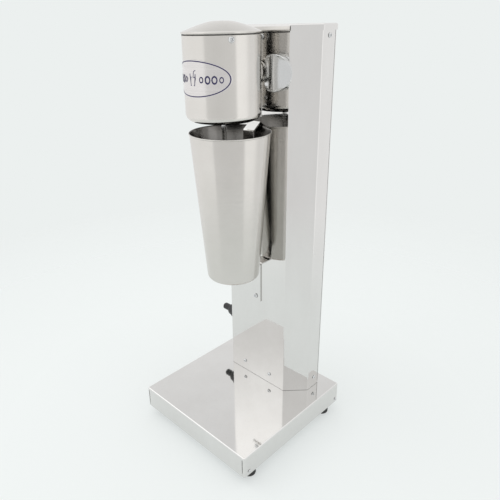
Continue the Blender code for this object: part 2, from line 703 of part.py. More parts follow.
def make_badge():
    """Oval plate bent round the front of the head."""
    bm = bmesh.new()
    bmesh.ops.create_grid(bm, x_segments=16, y_segments=2, size=1)
    radius = HEAD_RADIUS + GAP
    for vert in bm.verts:
        along, up = math.sin(vert.co.x * math.pi / 2), vert.co.y
        angle = BADGE_HALF_ARC * along
        height = BADGE_Z + BADGE_HALF_HEIGHT * math.sqrt(max(0.0, 1 - along * along)) * up
        vert.co = (radius * math.sin(angle), AXIS_Y - radius * math.cos(angle), height)
    bmesh.ops.remove_doubles(bm, verts=bm.verts, dist=1e-6)
    mesh = mesh_from(bm, "badge_plate")
    if mesh.polygons[len(mesh.polygons) // 2].normal.y > 0:
        mesh.flip_normals()
    badge = add_object("badge_plate", mesh, "badge")
    solidify = badge.modifiers.new("sheet", "SOLIDIFY")
    solidify.thickness = BADGE_THICKNESS
    solidify.offset = 1


# ---------------------------------------------------------------- cup, hook and rest


def make_cup():
    """Tapered tumbler with a beaded rim, a rounded foot and a raised base."""
    height = CUP_RIM_Z - CUP_BOTTOM
    lean = (CUP_RIM_RADIUS - CUP_BOTTOM_RADIUS) / height
    corner, recess, ring = 4.0 * MM, 1.6 * MM, 26.0 * MM
    bead_centre = (CUP_RIM_RADIUS - 0.1 * MM, CUP_RIM_Z - CUP_BEAD)
    outer = arc(bead_centre, CUP_BEAD, 90, -60, 4)
    outer += arc((CUP_BOTTOM_RADIUS - corner, CUP_BOTTOM + corner), corner, -math.degrees(lean), -90, 4)
    base = [(ring, CUP_BOTTOM), (ring - 1.5 * MM, CUP_BOTTOM + recess), (0, CUP_BOTTOM + recess)]
    inner = [(0, CUP_BOTTOM + recess + CUP_WALL)]
    inner += [(ring, CUP_BOTTOM + recess + CUP_WALL)]
    inner += arc((CUP_BOTTOM_RADIUS - corner, CUP_BOTTOM + corner + 1.3 * MM), corner - CUP_WALL, -60, 0, 3)
    inner += [(CUP_RIM_RADIUS - CUP_WALL, CUP_RIM_Z - 1.4 * MM), (CUP_RIM_RADIUS - CUP_WALL + 0.2 * MM, CUP_RIM_Z)]
    profile = [(0, CUP_BOTTOM + recess)] + base[1::-1] + outer[::-1] + inner[::-1]
    turned("cup", "satin_steel", profile[::-1], (CUP_X, CUP_Y, 0), steps=36)


def make_hook():
    """Sheet tab on the column: it slopes down over the back of the cup's rim and turns down inside it."""
    wall = COLUMN_FRONT_Y - GAP
    path = [(wall, 455 * MM), (wall, 424.4 * MM), (18.5 * MM, 415.2 * MM), (18.5 * MM, 396 * MM)]
    place = lambda a, b, d: (d, a, b)
    hook = folded_sheet(
        "cup_hook", "satin_steel", rounded_path(path, 1.8 * MM), -TAB_HALF_WIDTH, TAB_HALF_WIDTH, TAB_SHEET, place
    )
    screw_tab(hook, {"hook_screw_lower": HOOK_SCREW_Z - 5 * MM, "hook_screw_upper": HOOK_SCREW_Z + 5 * MM})


def make_rest():
    """Sheet angle under the cup: a strap screwed to the column and a shelf that the cup stands on."""
    wall = COLUMN_FRONT_Y - GAP
    shelf = CUP_BOTTOM - GAP
    path = [(wall, 177.0 * MM), (wall, shelf), (-4.0 * MM, shelf)]
    rest = folded_sheet(
        "cup_rest",
        "satin_steel",
        rounded_path(path, 2.5 * MM),
        -TAB_HALF_WIDTH,
        TAB_HALF_WIDTH,
        TAB_SHEET,
        lambda a, b, d: (d, a, b),
    )
    screw_tab(rest, {"rest_screw_lower": REST_SCREW_Z, "rest_screw_upper": REST_SCREW_Z + REST_SCREW_PITCH})


def screw_tab(tab, screws):
    """Screws through a tab's upright flange into the column."""
    holes = []
    for name, z in screws.items():
        seat = Vector((0, COLUMN_FRONT_Y - GAP - TAB_SHEET, z))
        pan_screw(name, seat, FRONT)
        holes.append((seat, FRONT, PAN_SHANK + HOLE_PLAY, 8 * MM))
    cut_holes(tab, holes)


# ---------------------------------------------------------------- controls and cable gland


def y_cylinder(name, centre, radius, low, high, steps=16):
    """A plain cylinder along Y, from low to high, that only shapes other pieces."""
    bm = bmesh.new()
    turn = UP.rotation_difference(BACK).to_matrix().to_4x4()
    spot = Matrix.Translation((centre.x, (low + high) / 2, centre.z))
    bmesh.ops.create_cone(
        bm, cap_ends=True, segments=steps, radius1=radius, radius2=radius, depth=high - low, matrix=spot @ turn
    )
    return hide_helper(add_object(name, mesh_from(bm, name), None, collection=CUTTERS))


def scoop_mesh(name, front_y, centre, side):
    """One side cut from the knob, as a stack of sections: a facet beside the bar, then a steeper slope."""
    bm = bmesh.new()
    edge = KNOB_BAR_WIDTH / 2
    rings = []
    steps = 16
    for step in range(steps + 1):
        share = math.sin(math.pi * (step / steps - 0.5))
        depth = max(0.02, math.sqrt(max(0.0, 1 - share * share)))
        section = [(edge, -3 * MM), (edge, 0), (edge + KNOB_FACET_WIDTH * depth, KNOB_FACET_DEPTH * depth)]
        section += [(21 * MM, KNOB_SCOOP_DEPTH * depth), (26 * MM, KNOB_SCOOP_DEPTH * depth), (26 * MM, -3 * MM)]
        height = centre.z + share * KNOB_SCOOP_HALF_HEIGHT
        rings.append([bm.verts.new((centre.x + side * x, front_y + y, height)) for x, y in section])
    for low, high in zip(rings, rings[1:]):
        for i in range(len(low)):
            j = (i + 1) % len(low)
            bm.faces.new((low[i], low[j], high[j], high[i]))
    bm.faces.new(rings[0])
    bm.faces.new(rings[-1])
    bmesh.ops.recalc_face_normals(bm, faces=bm.faces)
    return mesh_from(bm, name)


def make_speed_control():
    centre = Vector((KNOB_X, 0, CONTROL_Z))
    back = COLUMN_FRONT_Y - GAP
    inside = COLUMN_FRONT_Y + SHEET + GAP
    seat = centre + Vector((0, back, 0))
    shaft, socket = 1.8 * MM, 2.2 * MM
    profile = [(0, KNOB_DEPTH), (KNOB_RADIUS - 0.8 * MM, KNOB_DEPTH), (KNOB_RADIUS - 0.2 * MM, KNOB_DEPTH - 0.7 * MM)]
    profile += [(KNOB_RADIUS, 1.2 * MM), (KNOB_RADIUS, 0), (7.8 * MM, 0), (7.8 * MM, 2.8 * MM)]
    profile += [(socket, 2.8 * MM), (socket, 7 * MM), (0, 7 * MM)]
    knob = turned("speed_knob", "chrome", profile, seat, FRONT, steps=32)
    for name, side in (("knob_scoop_left", -1), ("knob_scoop_right", 1)):
        scoop = scoop_mesh(name, back - KNOB_DEPTH, centre, side)
        cut(knob, hide_helper(add_object(name, scoop, None, collection=CUTTERS)))
    rod = [(0, 6.7 * MM), (shaft, 6.7 * MM), (shaft, -2.4 * MM), (0, -2.4 * MM)]
    turned("switch_shaft", "zinc", rod, seat, FRONT, steps=12)
    hex_nut("switch_nut", seat, FRONT, 4.5 * MM, 2.0 * MM, 12 * MM)
    low = centre + Vector((-13 * MM, inside, -14 * MM))
    high = centre + Vector((13 * MM, inside + 22 * MM, 14 * MM))
    switch = add_object("speed_switch", box_mesh("speed_switch", low, high, 1.5 * MM, 1), "black_plastic")
    bush = y_cylinder("switch_bush", centre, 4.5 * MM, back - 2.2 * MM, inside + 2 * MM)
    cut(switch, bush, "UNION")
    cut_holes(switch, [(centre + Vector((0, COLUMN_FRONT_Y, 0)), BACK, shaft + 0.4 * MM, 9 * MM)])


def make_gland():
    """Black cable gland: flange, tapered dome nut and a ribless sleeve, with a nut inside the column."""
    thread_end = -11.0 * MM
    sleeve, tip = 5.2 * MM, GLAND_REACH
    profile = [(3.0 * MM, tip), (sleeve - 1.0 * MM, tip), (sleeve, tip - 1.4 * MM), (sleeve, 16 * MM), (6.0 * MM, 15.0 * MM)]
    profile += [(8.6 * MM, 12 * MM), (10.0 * MM, 5 * MM), (11.2 * MM, 3.6 * MM), (11.2 * MM, GAP)]
    profile += [(GLAND_THREAD_RADIUS, GAP), (GLAND_THREAD_RADIUS, thread_end), (3.0 * MM, thread_end)]
    seat = Vector((-COLUMN_SIDE_X, GLAND_Y, GLAND_Z))
    turned("cable_gland", "black_plastic", profile, seat, LEFT, steps=20)
    inside = seat + RIGHT * (SHEET + GAP)
    hex_nut("gland_nut", inside, RIGHT, GLAND_THREAD_RADIUS, 4 * MM, 15 * MM)


make_base()
make_column()
make_neck()
make_head()
make_motor()
make_spindle()
make_badge()
make_cup()
make_hook()
make_rest()
make_speed_control()
make_gland()
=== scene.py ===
"""Looks of the milkshake mixer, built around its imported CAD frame.

Round pieces are rebuilt as finely turned meshes in the CAD pieces' places. Folded sheet pieces stay as the
CAD made them. Every piece gets a node material: mirror-polished or satin stainless steel, plated steel,
rubber, moulded plastic. Lengths are in metres.
"""

import math

import bmesh
import bpy
from mathutils import Matrix, Vector

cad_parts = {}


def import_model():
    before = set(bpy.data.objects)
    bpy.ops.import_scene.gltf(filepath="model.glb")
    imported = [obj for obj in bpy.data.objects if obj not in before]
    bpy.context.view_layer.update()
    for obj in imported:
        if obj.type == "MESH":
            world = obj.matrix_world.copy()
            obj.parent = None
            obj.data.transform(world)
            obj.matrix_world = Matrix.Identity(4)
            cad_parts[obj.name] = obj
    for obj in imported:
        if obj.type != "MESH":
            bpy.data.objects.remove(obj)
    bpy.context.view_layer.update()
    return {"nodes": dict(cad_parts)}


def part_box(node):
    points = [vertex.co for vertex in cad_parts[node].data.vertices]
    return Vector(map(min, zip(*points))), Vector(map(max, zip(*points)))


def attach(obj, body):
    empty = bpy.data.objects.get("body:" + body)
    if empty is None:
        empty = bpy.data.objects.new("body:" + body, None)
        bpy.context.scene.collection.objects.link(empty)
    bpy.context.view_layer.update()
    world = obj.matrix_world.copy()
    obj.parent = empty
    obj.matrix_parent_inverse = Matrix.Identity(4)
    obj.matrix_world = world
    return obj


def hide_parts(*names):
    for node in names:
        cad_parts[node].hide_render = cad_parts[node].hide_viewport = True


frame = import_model()

MM = 0.001
UP = Vector((0, 0, 1))
FRONT = Vector((0, -1, 0))
BACK = Vector((0, 1, 0))
LEFT = Vector((-1, 0, 0))
RIGHT = Vector((1, 0, 0))

# Places that other pieces are worked out from, read from the frame
HEAD_LOW, HEAD_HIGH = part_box("head_shell")
LID_LOW, LID_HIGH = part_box("head_lid")
CUP_LOW, CUP_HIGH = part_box("cup")
SPINDLE_LOW, SPINDLE_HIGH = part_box("spindle")
KNOB_LOW, KNOB_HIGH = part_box("speed_knob")
GLAND_LOW, GLAND_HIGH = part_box("cable_gland")
SHELL_LOW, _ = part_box("column_shell")
AXIS = Vector(((SPINDLE_LOW.x + SPINDLE_HIGH.x) / 2, (SPINDLE_LOW.y + SPINDLE_HIGH.y) / 2, 0))
HEAD_RADIUS = (HEAD_HIGH.x - HEAD_LOW.x) / 2
COLUMN_FRONT = SHELL_LOW.y
SHEET = 1.2 * MM
GAP = 0.3 * MM  # clearance that the CAD leaves between pieces that touch
FULL_TURN = 2 * math.pi


# ---------------------------------------------------------------- node helpers

NOISE_SPAN = (0.3, 0.7)  # most of a noise's values lie between these two
WIDE_SPAN = (0.25, 0.75)
EVEN = (1, 1, 1)


class Nodes:
    """Short ways to add and join the nodes of one material or world."""

    def __init__(self, owner):
        self.tree = owner.node_tree
        self.shader = self.tree.nodes.get("Principled BSDF")

    def add(self, kind, **inputs):
        node = self.tree.nodes.new("ShaderNode" + kind)
        for name, value in inputs.items():
            if hasattr(node, name):
                setattr(node, name, value)
            else:
                node.inputs[name.replace("_", " ")].default_value = value
        return node

    def link(self, output, target):
        self.tree.links.new(output, target)

    def noise(self, scale, detail=4.0, roughness=0.5, stretch=EVEN):
        """Noise over the piece's own coordinates, finer along the axes that stretch enlarges."""
        mapping = self.add("Mapping", Scale=stretch)
        self.link(self.add("TexCoord").outputs["Object"], mapping.inputs["Vector"])
        node = self.add("TexNoise", Scale=scale, Detail=detail, Roughness=roughness)
        self.link(mapping.outputs["Vector"], node.inputs["Vector"])
        return node.outputs["Fac"]

    def spread(self, value, low, high, span=(0.0, 1.0)):
        """The value's range in span mapped to low..high."""
        node = self.add("MapRange", To_Min=low, To_Max=high, From_Min=span[0], From_Max=span[1])
        self.link(value, node.inputs["Value"])
        return node.outputs["Result"]

    def ramp(self, value, stops):
        node = self.add("ValToRGB")
        elements = node.color_ramp.elements
        for i, (place, colour) in enumerate(stops):
            element = elements[i] if i < len(elements) else elements.new(place)
            element.position = place
            element.color = (*colour, 1)
        self.link(value, node.inputs["Fac"])
        return node.outputs["Color"]

    def mix_colour(self, factor, first, second):
        """first where factor is 0, second where it is 1. Either may be an output or a colour."""
        node = self.add("Mix", data_type="RGBA")
        self.link(factor, node.inputs["Factor"])
        for socket, value in zip([s for s in node.inputs if s.type == "RGBA"], (first, second)):
            if isinstance(value, tuple):
                socket.default_value = value
            else:
                self.link(value, socket)
        return [s for s in node.outputs if s.type == "RGBA"][0]

    def bump(self, height, distance, strength=1.0, normal=None):
        node = self.add("Bump", Strength=strength, Distance=distance)
        self.link(height, node.inputs["Height"])
        if normal is not None:
            self.link(normal, node.inputs["Normal"])
        return node.outputs["Normal"]

    def vary_roughness(self, noise, low, high):
        self.link(self.spread(noise, low, high, NOISE_SPAN), self.shader.inputs["Roughness"])

    def vary_colour(self, noise, dark, light, span=NOISE_SPAN):
        self.link(self.ramp(noise, list(zip(span, (dark, light)))), self.shader.inputs["Base Color"])

    def raise_surface(self, height, distance, strength=1.0, normal=None):
        """The bump that the shader gets. normal is a finer bump that this one lies over."""
        self.link(self.bump(height, distance, strength, normal), self.shader.inputs["Normal"])

    def coat(self, weight, roughness):
        self.shader.inputs["Coat Weight"].default_value = weight
        self.shader.inputs["Coat Roughness"].default_value = roughness


def new_material(name, colour, roughness, metallic=0.0):
    """A material with a plain colour and roughness to start from, and its nodes."""
    material = bpy.data.materials.new(name)
    material.use_nodes = True
    nodes = Nodes(material)
    nodes.shader.inputs["Base Color"].default_value = (*colour, 1)
    nodes.shader.inputs["Roughness"].default_value = roughness
    nodes.shader.inputs["Metallic"].default_value = metallic
    return material, nodes


# ---------------------------------------------------------------- materials


def mirror_steel():
    """Mirror-polished sheet: faint cloudy wipes, and the slow ripple that rolled sheet keeps."""
    material, nodes = new_material("mirror_steel", (0.74, 0.732, 0.72), 0.05, 1.0)
    wipes = nodes.noise(3.0, detail=6.0, roughness=0.6, stretch=(9, 9, 3))
    nodes.vary_roughness(wipes, 0.025, 0.085)
    nodes.vary_colour(wipes, (0.715, 0.706, 0.692), (0.76, 0.754, 0.742), WIDE_SPAN)
    ripple = nodes.noise(7.0, detail=1.0)
    nodes.raise_surface(ripple, 0.0006)
    return material


def satin_steel(name="satin_steel", lift=1.06):
    """Spun and satin-polished steel: fine lines that run round the piece, and a warm tint."""
    dark, light = (0.605, 0.587, 0.556), (0.65, 0.632, 0.603)
    material, nodes = new_material(name, (0.63, 0.61, 0.58), 0.2, 1.0)
    lines = nodes.noise(1.0, detail=3.0, roughness=0.6, stretch=(6, 6, 1400))
    clouds = nodes.noise(22.0, detail=5.0, roughness=0.6)
    nodes.vary_roughness(lines, 0.13, 0.24)
    nodes.vary_colour(clouds, *[tuple(lift * part for part in tone_with_painted_shade) for tone_with_painted_shade in (dark, light)], WIDE_SPAN)
    nodes.raise_surface(clouds, 0.00015, 0.4, nodes.bump(lines, 0.00002, 0.6))
    return material


def cup_steel():
    """The cup's satin steel, with its colour painted much darker inside: painted shade for the dim inside of
    the cup.
    """
    material = satin_steel("cup_steel", 1.0)
    nodes = Nodes(material)
    outside = nodes.shader.inputs["Base Color"].links[0].from_socket
    # The inside is where a point's direction from the cup's axis runs against its normal.
    outward = nodes.add("VectorMath", operation="MULTIPLY")
    outward.inputs[1].default_value = (1, 1, 0)
    facing = nodes.add("VectorMath", operation="DOT_PRODUCT")
    nodes.link(nodes.add("TexCoord").outputs["Object"], outward.inputs[0])
    nodes.link(outward.outputs["Vector"], facing.inputs[0])
    nodes.link(nodes.add("TexCoord").outputs["Normal"], facing.inputs[1])
    inside = nodes.spread(facing.outputs["Value"], 0, 1, (0.0, -0.01))
    # Painted shade: the inside's colour is darkened to stand in for the shade deep in the cup.
    tone_with_painted_shade = nodes.mix_colour(inside, outside, (0.218, 0.211, 0.201, 1))
    nodes.link(tone_with_painted_shade, nodes.shader.inputs["Base Color"])
    return material


def bright_steel():
    """Ground and polished shaft steel with fine turning marks."""
    material, nodes = new_material("bright_steel", (0.70, 0.70, 0.69), 0.12, 1.0)
    marks = nodes.noise(1.0, detail=2.0, stretch=(40, 40, 2500))
    nodes.vary_roughness(marks, 0.08, 0.2)
    nodes.raise_surface(marks, 0.00001)
    return material


def zinc():
    """Bright zinc plating: slightly blue, with a fine grain."""
    material, nodes = new_material("zinc", (0.70, 0.71, 0.72), 0.25, 1.0)
    grain = nodes.noise(900.0)
    nodes.vary_roughness(grain, 0.16, 0.34)
    nodes.vary_colour(grain, (0.62, 0.63, 0.64), (0.76, 0.77, 0.77))
    return material


def silver_plastic():
    """Silver-coated moulding of the knob: even metallic coat under a clear, glossy layer."""
    material, nodes = new_material("silver_plastic", (0.55, 0.56, 0.56), 0.2, 0.95)
    flakes = nodes.noise(2200.0, detail=2.0)
    nodes.vary_colour(flakes, (0.62, 0.63, 0.63), (0.72, 0.73, 0.73))
    nodes.vary_roughness(flakes, 0.14, 0.24)
    nodes.coat(0.3, 0.1)
    return material


def rubber():
    """Black rubber: matt, with a fine pebbled skin and a dusty bloom."""
    material, nodes = new_material("rubber", (0.016, 0.016, 0.016), 0.7)
    skin = nodes.noise(1500.0, detail=3.0)
    dust = nodes.noise(120.0)
    nodes.vary_colour(dust, (0.013, 0.013, 0.013), (0.03, 0.03, 0.029), (0.4, 0.8))
    nodes.raise_surface(skin, 0.00008, 0.6)
    return material


def black_plastic():
    """Black moulded nylon: satin, with a fine spark-eroded grain."""
    material, nodes = new_material("black_plastic", (0.014, 0.014, 0.015), 0.42)
    grain = nodes.noise(1100.0, detail=3.0)
    nodes.vary_roughness(grain, 0.34, 0.52)
    nodes.vary_colour(grain, (0.012, 0.012, 0.013), (0.02, 0.02, 0.021))
    nodes.raise_surface(grain, 0.00005, 0.5)
    return material


def laminated_steel():
    """Varnished stack of laminations: thin lines across the stack."""
    material, nodes = new_material("laminated_steel", (0.3, 0.28, 0.26), 0.5, 0.7)
    layers = nodes.noise(1.0, detail=2.0, stretch=(2, 2, 1800))
    nodes.vary_colour(layers, (0.16, 0.15, 0.14), (0.38, 0.35, 0.32), (0.35, 0.65))
    nodes.raise_surface(layers, 0.00005)
    return material


def copper():
    """Enamelled copper windings."""
    material, nodes = new_material("copper", (0.62, 0.27, 0.14), 0.35, 0.9)
    wires = nodes.noise(1.0, detail=2.0, stretch=(900, 900, 30))
    nodes.vary_colour(wires, (0.42, 0.16, 0.08), (0.72, 0.35, 0.19), (0.35, 0.65))
    nodes.raise_surface(wires, 0.0001)
    return material


def badge_plate_finish():
    """Thin clear-lacquered plate: pale silver."""
    material, nodes = new_material("badge", (0.66, 0.645, 0.635), 0.2, 1.0)
    grain = nodes.noise(1.0, detail=3.0, stretch=(12, 12, 900))
    nodes.vary_colour(grain, (0.64, 0.62, 0.61), (0.70, 0.68, 0.67))
    nodes.vary_roughness(grain, 0.17, 0.27)
    nodes.coat(0.5, 0.08)
    return material


def blue_ink():
    """Dark blue screen-printed ink."""
    material, nodes = new_material("blue_ink", (0.014, 0.012, 0.08), 0.35)
    cover = nodes.noise(900.0, detail=3.0)
    nodes.vary_colour(cover, (0.010, 0.008, 0.06), (0.024, 0.020, 0.11))
    return material


FINISH = {
    "mirror_steel": mirror_steel(),
    "satin_steel": satin_steel(),
    "cup_steel": cup_steel(),
    "bright_steel": bright_steel(),
    "zinc": zinc(),
    "silver_plastic": silver_plastic(),
    "rubber": rubber(),
    "black_plastic": black_plastic(),
    "laminated_steel": laminated_steel(),
    "copper": copper(),
    "badge": badge_plate_finish(),
    "blue_ink": blue_ink(),
}


# ---------------------------------------------------------------- mesh helpers

CREASE = math.radians(30)  # a sharper edge than this is shaded sharp
ON_AXIS = 1e-7
TOO_SHORT = 1e-6
NEARLY_STRAIGHT = math.radians(165)
MOST_OF_A_SIDE = 0.45  # how far a rounded corner may reach along each of its two sides


def piece(name, bm, finish, body, replaced=(), location=(0, 0, 0), direction=UP):
    """A finished mesh on a body, in place of the CAD nodes in replaced, with its finish as its material."""
    bmesh.ops.recalc_face_normals(bm, faces=bm.faces)
    mesh = bpy.data.meshes.new(name)
    bm.to_mesh(mesh)
    bm.free()
    mesh.materials.append(FINISH[finish])
    mesh.shade_smooth()
    mesh.set_sharp_from_angle(angle=CREASE)
    obj = bpy.data.objects.new(name, mesh)
    bpy.context.scene.collection.objects.link(obj)
    obj.location = location
    obj.rotation_euler = UP.rotation_difference(Vector(direction)).to_euler()
    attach(obj, body)
    if replaced:
        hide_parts(*replaced)


def ring(bm, radius, height, steps, turn=0.0):
    """One round row of vertices about Z. Where the radius is nothing, it is one vertex, repeated."""
    if radius < ON_AXIS:
        return [bm.verts.new((0, 0, height))] * steps
    angles = [FULL_TURN * i / steps + turn for i in range(steps)]
    return [bm.verts.new((radius * math.cos(a), radius * math.sin(a), height)) for a in angles]


def skin(bm, rows):
    """Faces between each closed row of vertices and the next."""
    for first, second in zip(rows, rows[1:]):
        for i in range(len(first)):
            after = (i + 1) % len(first)
            corners = list(dict.fromkeys([first[i], second[i], second[after], first[after]]))
            if len(corners) > 2:
                bm.faces.new(corners)


def spun(profile, steps):
    """A section of (radius, height) points turned about Z. Where it keeps clear of the axis, it is closed."""
    bm = bmesh.new()
    rows = [ring(bm, radius, height, steps) for radius, height in profile]
    if min(radius for radius, _ in profile) > 0:
        rows.append(rows[0])
    skin(bm, rows)
    return bm


def arc(centre, radius, start, end, steps):
    """Points on an arc in the (radius, height) plane, angles in degrees."""
    angles = [math.radians(start + (end - start) * i / steps) for i in range(steps + 1)]
    return [(centre[0] + radius * math.cos(a), centre[1] + radius * math.sin(a)) for a in angles]


def rounded(profile, radius, steps=4):
    """The same section with each inner corner replaced by a small curve."""
    points = [profile[0]]
    for before, here, after in zip(profile, profile[1:], profile[2:]):
        corner = Vector(here)
        to_before, to_after = Vector(before) - corner, Vector(after) - corner
        reach = min(radius, to_before.length * MOST_OF_A_SIDE, to_after.length * MOST_OF_A_SIDE)
        if reach < TOO_SHORT or to_before.angle(to_after) > NEARLY_STRAIGHT:
            points.append(here)
            continue
        start = corner + to_before.normalized() * reach
        end = corner + to_after.normalized() * reach
        for step in range(steps + 1):
            share = step / steps
            point = start * (1 - share) ** 2 + corner * 2 * share * (1 - share) + end * share**2
            points.append(tuple(point))
    points.append(profile[-1])
    return points


def paint(names, finish):
    """Gives CAD nodes that stay this finish."""
    for name in names:
        node = frame["nodes"][name]
        if not node.material_slots:
            node.data.materials.append(FINISH[finish])
        for held in node.material_slots:
            held.material = FINISH[finish]


def carved(name, base, cutters, bevel):
    """base with each cutter's solid taken away and its sharp edges bevelled. All of them are bmeshes."""
    made = []
    for i, bm in enumerate([base, *cutters]):
        bmesh.ops.recalc_face_normals(bm, faces=bm.faces)
        mesh = bpy.data.meshes.new(f"{name}_{i}")
        bm.to_mesh(mesh)
        bm.free()
        made.append(bpy.data.objects.new(mesh.name, mesh))
        bpy.context.scene.collection.objects.link(made[-1])
    for cutter in made[1:]:
        boolean = made[0].modifiers.new(cutter.name, "BOOLEAN")
        boolean.object = cutter
    edge = made[0].modifiers.new("edge", "BEVEL")
    edge.width = bevel
    edge.segments = 3
    edge.angle_limit = math.radians(40)
    bpy.context.view_layer.update()
    evaluated = made[0].evaluated_get(bpy.context.evaluated_depsgraph_get())
    result = bmesh.new()
    result.from_mesh(evaluated.to_mesh())
    for obj in made:
        bpy.data.objects.remove(obj, do_unlink=True)
    return result


def smooth_step(value, low, high):
    """0 up to low, 1 from high on, and a smooth rise between them."""
    share = min(1.0, max(0.0, (value - low) / (high - low)))
    return share * share * (3 - 2 * share)


# ---------------------------------------------------------------- screws

# Shares of the head's radius
RECESS_ARM = (0.10, 0.22)  # where an arm's wall starts and ends, across the arm
RECESS_END = (0.42, 0.62)  # the same along the arm
RECESS_DEPTH = 0.42
HEAD_HEIGHT = 0.55
HEAD_SEAT = 0.03
SHANK_RADIUS = 0.48
HEAD_RINGS = (0, 0.08, 0.16, 0.24, 0.32, 0.40, 0.48, 0.56, 0.64, 0.74, 0.84, 0.93, 0.98, 1.0)


def cross_recess(x, y):
    """How deep the cross recess is at this point of a screw's head, from 0 to 1."""
    arm = max(1 - smooth_step(abs(x), *RECESS_ARM), 1 - smooth_step(abs(y), *RECESS_ARM))
    return arm * (1 - smooth_step(math.hypot(x, y), *RECESS_END))


def dome(share):
    """Height of a pan head at this share of its radius: nearly flat, then falling away at the edge."""
    crown, edge_fall, edge = 0.16, 0.55, (0.72, 1.02)
    return HEAD_HEIGHT * (1 - crown * share**2 - edge_fall * smooth_step(share, *edge))


def screw(node, direction, turn):
    """A pan-head screw with a cross recess, in the place of a CAD screw whose head faces this direction."""
    direction = Vector(direction).normalized()
    points = [vert.co for vert in frame["nodes"][node].data.vertices]
    along = [point.dot(direction) for point in points]
    centre = sum(points, Vector()) / len(points)
    centre -= direction * centre.dot(direction)
    offsets = [point - centre - direction * distance for point, distance in zip(points, along)]
    radius = max(offset.length for offset in offsets)
    seat = max(along) - HEAD_HEIGHT * radius
    steps = 48
    bm = bmesh.new()
    rows = []
    for share in HEAD_RINGS:
        row = ring(bm, share * radius, dome(share) * radius, steps, turn)
        for i, vert in enumerate(dict.fromkeys(row)):
            angle = FULL_TURN * i / steps
            recess = cross_recess(share * math.cos(angle), share * math.sin(angle))
            vert.co.z -= RECESS_DEPTH * radius * recess
        rows.append(row)
    under, shank, end = HEAD_SEAT * radius, SHANK_RADIUS * radius, min(along) - seat
    for reach, height in ((radius, under), (shank, under), (shank, end), (0, end)):
        rows.append(ring(bm, reach, height, steps, turn))
    skin(bm, rows)
    piece(node + "_finished", bm, "zinc", "stand", [node], centre + direction * seat, direction)


def all_screws():
    """Every screw. Each group is turned to a different angle, as hand-driven screws are."""
    ways = {"left": LEFT, "right": RIGHT}
    for row, turn in (("front", 0.5), ("rear", 1.2)):
        for side, way in ways.items():
            screw(f"skirt_screw_{row}_{side}", way, turn)
    for side, way in ways.items():
        screw(f"column_screw_front_{side}", FRONT, 0.3 if side == "left" else 0.9)
        screw(f"column_screw_side_{side}", way, 0.4)
        screw(f"cap_screw_{side}", way, 0.7)
        screw(f"back_screw_lower_{side}", BACK, 0.2)
        screw(f"back_screw_upper_{side}", BACK, 0.6)
    for name in ("hook_screw_lower", "hook_screw_upper", "rest_screw_lower", "rest_screw_upper"):
        screw(name, FRONT, 0.35)
    for name, azimuth in (("front_right", 60), ("rear", 180), ("front_left", 300)):
        angle = math.radians(azimuth)
        screw("lid_screw_" + name, (math.sin(angle), -math.cos(angle), 0), 0.4)


# ---------------------------------------------------------------- head


def head():
    """Spun shell with a rounded lower corner, a flat floor and a rolled mouth, and a thin dark rubber ring on
    top of it, painted shade for the shadow line in the joint under the lid.
    """
    mouth, corner, edge, lip = 9.0 * MM, 9.0 * MM, 0.3 * MM, 0.4 * MM
    shade_ring_height, shade_ring_inset, shade_ring_gap = 0.9 * MM, 0.25 * MM, 0.02 * MM
    inside = HEAD_RADIUS - SHEET
    floor, top = HEAD_LOW.z, HEAD_HIGH.z
    shoulder = top - shade_ring_height
    centre = (HEAD_RADIUS - corner, floor + corner)
    section = [(HEAD_RADIUS - edge, shoulder), (HEAD_RADIUS, shoulder - edge)]
    section += arc(centre, corner, 0, -90, 16)
    section += [(mouth + lip, floor), (mouth, floor + lip), (mouth, floor + SHEET)]
    section += arc(centre, corner - SHEET, -90, 0, 10) + [(inside, shoulder)]
    piece("head_shell_finished", spun(section, 160), "satin_steel", "stand", ["head_shell"], AXIS)
    # Painted shade: a thin dark rubber ring stands in for the shadow line where the lid meets the shell.
    outside, low = HEAD_RADIUS - shade_ring_inset, shoulder + shade_ring_gap
    section = [(outside, top), (outside, low), (inside, low), (inside, top)]
    piece("head_lid_shade_ring", spun(section, 160), "rubber", "stand", [], AXIS)


def lid():
    """Pressed crown with a rolled rim that stands just proud of the shell, and a skirt inside it."""
    rim = (LID_HIGH.x - LID_LOW.x) / 2
    roll, wall, steps = 1.15 * MM, 1.1 * MM, 20
    flat, seam = 10.0 * MM, HEAD_HIGH.z + GAP
    rim_top = seam + 2 * roll
    peak = LID_HIGH.z
    top, reach = peak - 0.25 * MM, rim - 1.2 * MM

    def crown(drop, trim):
        """The crown's curve from the flat middle out to the rim, this much lower and smaller."""
        shares = [i / steps for i in range(steps + 1)]
        across = reach - trim - flat
        return [(flat + across * share, top - (top - rim_top) * share**1.3 - drop) for share in shares]

    skirt = HEAD_RADIUS - SHEET - GAP
    skirt_inside = skirt - MM
    section = [(0, peak), (flat * 0.5, peak - 0.06 * MM)] + crown(0, 0)
    section += arc((rim - roll, rim_top - roll), roll, 80, -90, 8)
    section += [(skirt, seam), (skirt, LID_LOW.z), (skirt_inside, LID_LOW.z)]
    section += [(skirt_inside, seam + 0.4 * MM)]
    section += crown(wall, 1.5 * MM)[::-1] + [(0, peak - wall)]
    piece("head_lid_finished", spun(section, 160), "satin_steel", "stand", ["head_lid"], AXIS)


def on_head(across, height, proud):
    """A point on the front of the head: across is measured round it from the middle."""
    radius = HEAD_RADIUS + proud
    angle = across / HEAD_RADIUS
    return AXIS + Vector((radius * math.sin(angle), -radius * math.cos(angle), height))


